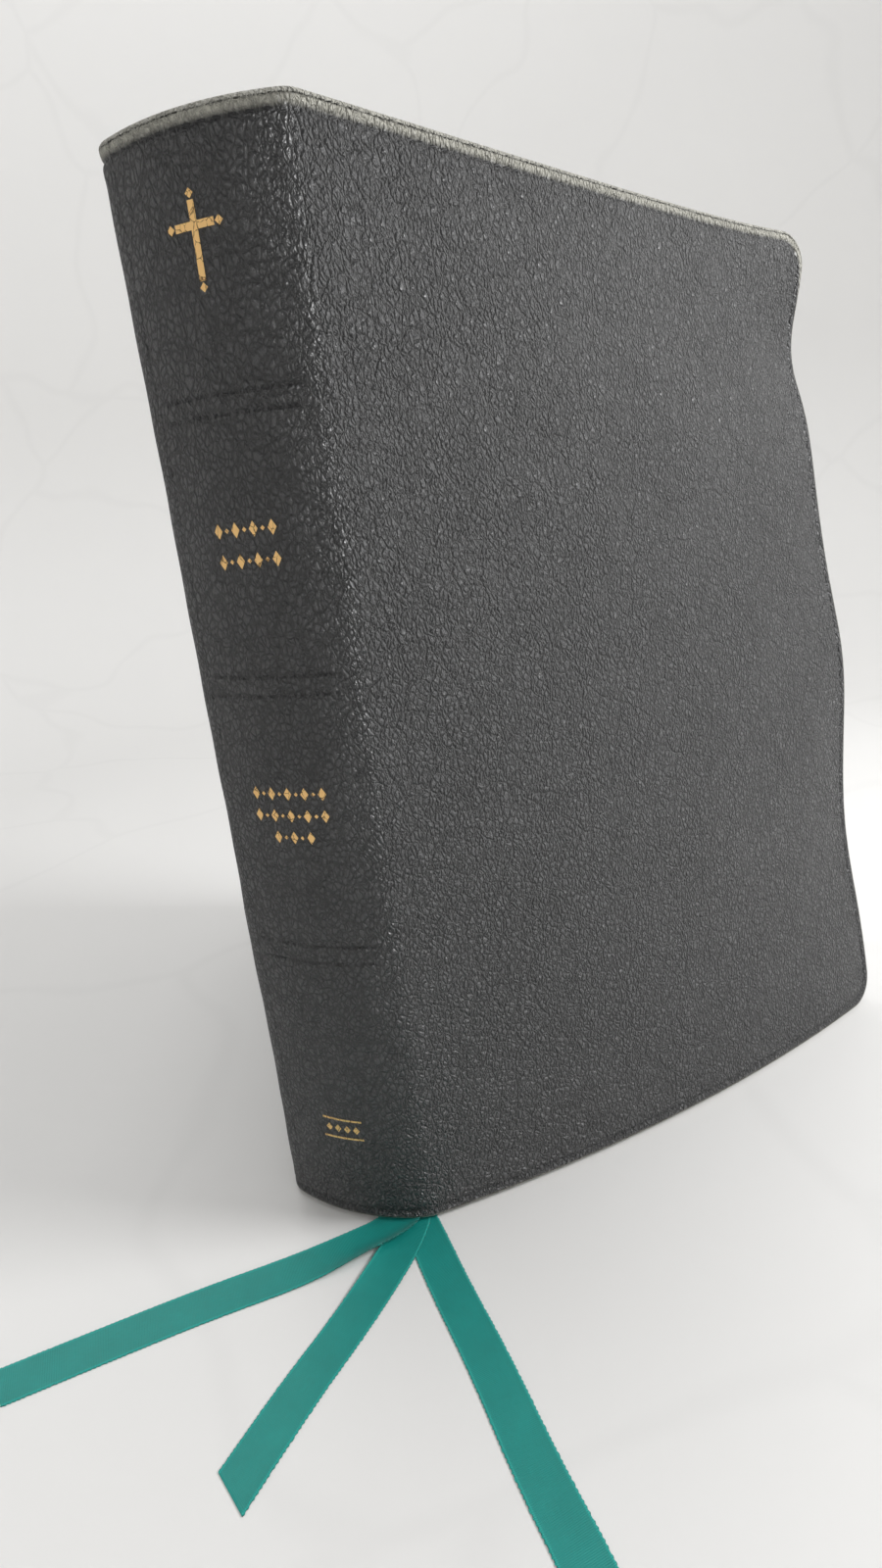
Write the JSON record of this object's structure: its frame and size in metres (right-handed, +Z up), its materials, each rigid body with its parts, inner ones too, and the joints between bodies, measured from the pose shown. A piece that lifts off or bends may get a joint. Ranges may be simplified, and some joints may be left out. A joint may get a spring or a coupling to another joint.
{
  "type": "bible",
  "caption": "Thick limp-leather bible standing splayed on its tail, with hinged covers, turning bundles of gilt-edged leaves and ribbon markers on the floor.",
  "frame": {"origin": "middle of the standing book's footprint, on the floor it stands on", "axes": "+Z up along the spine from tail to head; -X out of the spine; -Y towards the front cover and +Y towards the back cover"},
  "size_m": [0.2507, 0.2373, 0.2459],
  "materials": {
    "cover_leather": "pebbled black goatskin, satin",
    "lining_leather": "smooth black lining, satin",
    "board": "flexible grey-brown book board",
    "leaves": "thin opaque paper with gilt edges",
    "endpaper": "heavy black endpaper",
    "thread": "dark waxed thread",
    "sewing": "linen sewing thread",
    "gauze": "open-weave starched gauze",
    "back_paper": "brown kraft paper",
    "headband": "gold and black wound silk",
    "ribbon": "teal satin with woven edges"
  },
  "bodies": {
    "spine_and_block": {"leaves_core": "leaves", "ribbon_bank": "ribbon", "sewing_thread": "sewing", "spine_mull": "gauze", "spine_paper": "back_paper", "headband_head": "headband", "headband_tail": "headband", "spine_leather": "cover_leather", "spine_stiffener": "board", "spine_lining": "lining_leather", "spine_stitch_tail": "thread", "spine_stitch_head": "thread", "ribbon_left": "ribbon", "ribbon_middle": "ribbon", "ribbon_right": "ribbon"},
    "front_cover": {"front_leather": "cover_leather", "front_board": "board", "front_lining": "lining_leather", "front_stitching": "thread"},
    "front_endpaper": {"front_flyleaf": "endpaper"},
    "front_bundle_1": {"front_leaves_1": "leaves"},
    "front_bundle_2": {"front_leaves_2": "leaves"},
    "front_bundle_3": {"front_leaves_3": "leaves"},
    "front_bundle_4": {"front_leaves_4": "leaves"},
    "back_cover": {"back_leather": "cover_leather", "back_board": "board", "back_lining": "lining_leather", "back_stitching": "thread"},
    "back_endpaper": {"back_flyleaf": "endpaper"},
    "back_bundle_1": {"back_leaves_1": "leaves"},
    "back_bundle_2": {"back_leaves_2": "leaves"},
    "back_bundle_3": {"back_leaves_3": "leaves"},
    "back_bundle_4": {"back_leaves_4": "leaves"}
  },
  "joints": [
    {"name": "front_cover_hinge", "type": "hinge", "parent": "spine_and_block", "child": "front_cover", "pos_m": [-0.0824, 0.00252, 0], "axis": [0, 0, -1], "range_deg": [-28, 121]},
    {"name": "front_flyleaf_turn", "type": "hinge", "parent": "spine_and_block", "child": "front_endpaper", "pos_m": [-0.0779, 0.00553, 0], "axis": [0, 0, -1], "range_deg": [-17.38, 75.04]},
    {"name": "front_leaves_1_turn", "type": "hinge", "parent": "spine_and_block", "child": "front_bundle_1", "pos_m": [-0.0779, 0.00598, 0], "axis": [0, 0, -1], "range_deg": [-13.46, 58.1]},
    {"name": "front_leaves_2_turn", "type": "hinge", "parent": "spine_and_block", "child": "front_bundle_2", "pos_m": [-0.0779, 0.00857, 0], "axis": [0, 0, -1], "range_deg": [-10.1, 43.58]},
    {"name": "front_leaves_3_turn", "type": "hinge", "parent": "spine_and_block", "child": "front_bundle_3", "pos_m": [-0.0779, 0.01117, 0], "axis": [0, 0, -1], "range_deg": [-6.74, 29.06]},
    {"name": "front_leaves_4_turn", "type": "hinge", "parent": "spine_and_block", "child": "front_bundle_4", "pos_m": [-0.0779, 0.01378, 0], "axis": [0, 0, -1], "range_deg": [-3.38, 14.54]},
    {"name": "back_cover_hinge", "type": "hinge", "parent": "spine_and_block", "child": "back_cover", "pos_m": [-0.0824, 0.04253, 0], "axis": [0, 0, 1], "range_deg": [-17, 132]},
    {"name": "back_flyleaf_turn", "type": "hinge", "parent": "spine_and_block", "child": "back_endpaper", "pos_m": [-0.0779, 0.03952, 0], "axis": [0, 0, 1], "range_deg": [-10.56, 81.86]},
    {"name": "back_leaves_1_turn", "type": "hinge", "parent": "spine_and_block", "child": "back_bundle_1", "pos_m": [-0.0779, 0.03907, 0], "axis": [0, 0, 1], "range_deg": [-8.18, 63.38]},
    {"name": "back_leaves_2_turn", "type": "hinge", "parent": "spine_and_block", "child": "back_bundle_2", "pos_m": [-0.0779, 0.03648, 0], "axis": [0, 0, 1], "range_deg": [-6.14, 47.54]},
    {"name": "back_leaves_3_turn", "type": "hinge", "parent": "spine_and_block", "child": "back_bundle_3", "pos_m": [-0.0779, 0.03388, 0], "axis": [0, 0, 1], "range_deg": [-4.1, 31.7]},
    {"name": "back_leaves_4_turn", "type": "hinge", "parent": "spine_and_block", "child": "back_bundle_4", "pos_m": [-0.0779, 0.03127, 0], "axis": [0, 0, 1], "range_deg": [-2.06, 15.86]}
  ],
  "couplings": [
    {"joint": "front_flyleaf_turn", "follows": "front_cover_hinge", "ratio": 0.62},
    {"joint": "front_leaves_1_turn", "follows": "front_cover_hinge", "ratio": 0.48},
    {"joint": "front_leaves_2_turn", "follows": "front_cover_hinge", "ratio": 0.36},
    {"joint": "front_leaves_3_turn", "follows": "front_cover_hinge", "ratio": 0.24},
    {"joint": "front_leaves_4_turn", "follows": "front_cover_hinge", "ratio": 0.12},
    {"joint": "back_flyleaf_turn", "follows": "back_cover_hinge", "ratio": 0.62},
    {"joint": "back_leaves_1_turn", "follows": "back_cover_hinge", "ratio": 0.48},
    {"joint": "back_leaves_2_turn", "follows": "back_cover_hinge", "ratio": 0.36},
    {"joint": "back_leaves_3_turn", "follows": "back_cover_hinge", "ratio": 0.24},
    {"joint": "back_leaves_4_turn", "follows": "back_cover_hinge", "ratio": 0.12}
  ]
}
